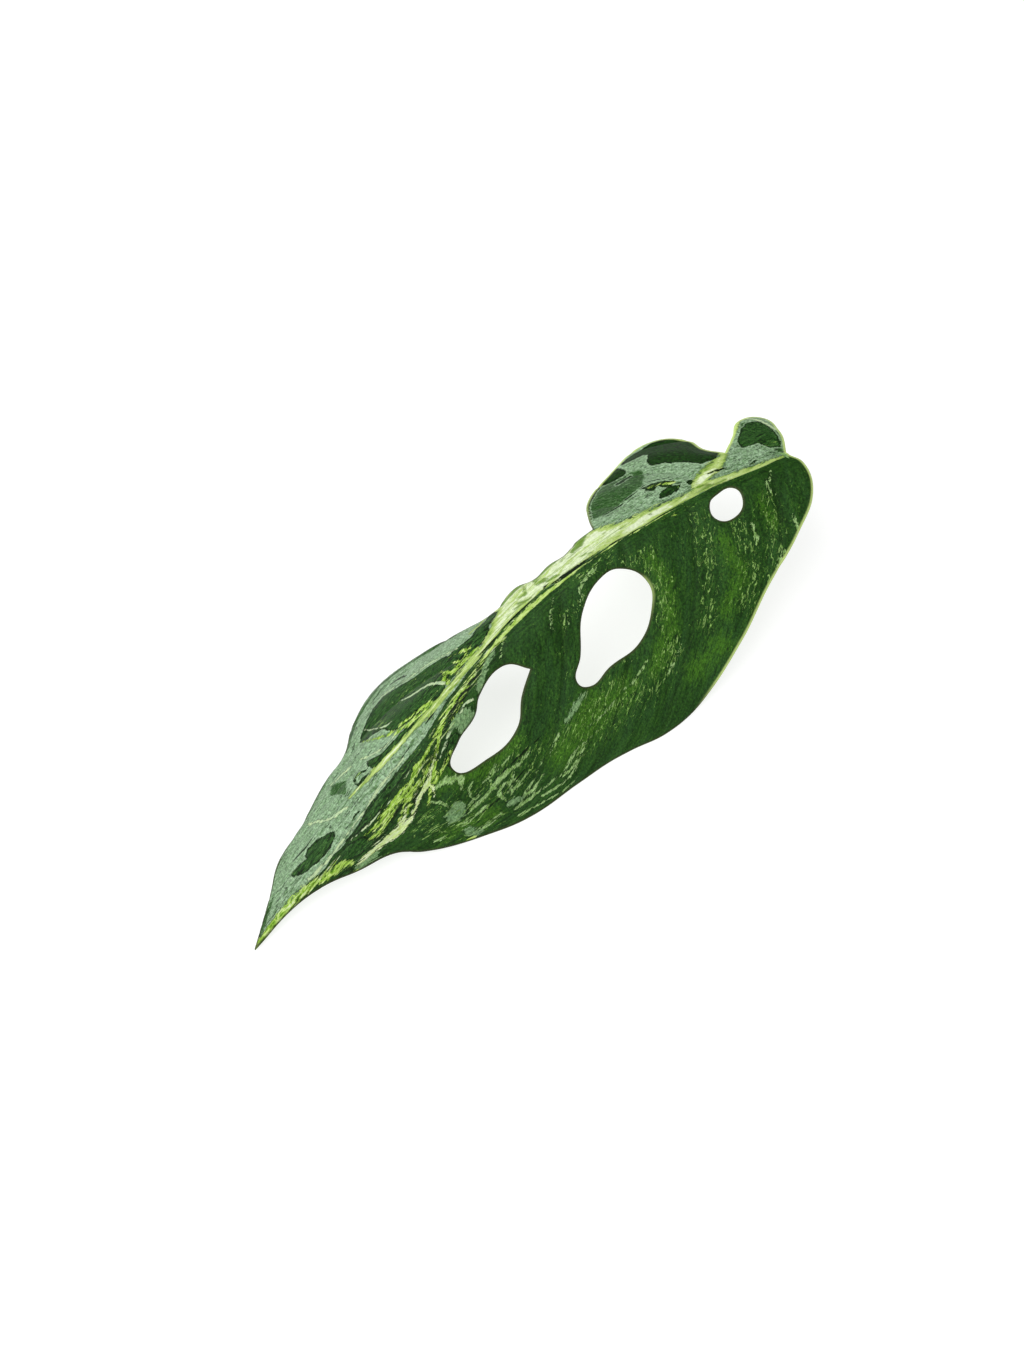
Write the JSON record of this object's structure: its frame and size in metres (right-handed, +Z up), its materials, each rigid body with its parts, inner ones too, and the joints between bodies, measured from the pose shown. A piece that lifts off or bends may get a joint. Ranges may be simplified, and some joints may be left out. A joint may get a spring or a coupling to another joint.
{
  "type": "monstera leaf",
  "caption": "Single picked variegated monstera leaf with enclosed holes, an uneven lobed margin, a sunken midrib and a short stalk, lying tent-like on its margins and stalk end.",
  "frame": {"origin": "middle of the leaf's box, on the surface that the leaf lies on", "axes": "+X from the tip towards the stalk, along the leaf's length; +Z up, across its shortest extent"},
  "size_m": [0.1861, 0.0561, 0.0296],
  "materials": {
    "leaf_green": "waxy semi-gloss leaf surface, dark green marbled with pale grey-green and cream"
  },
  "bodies": {
    "root": {"leaf": "leaf_green"}
  },
  "joints": []
}
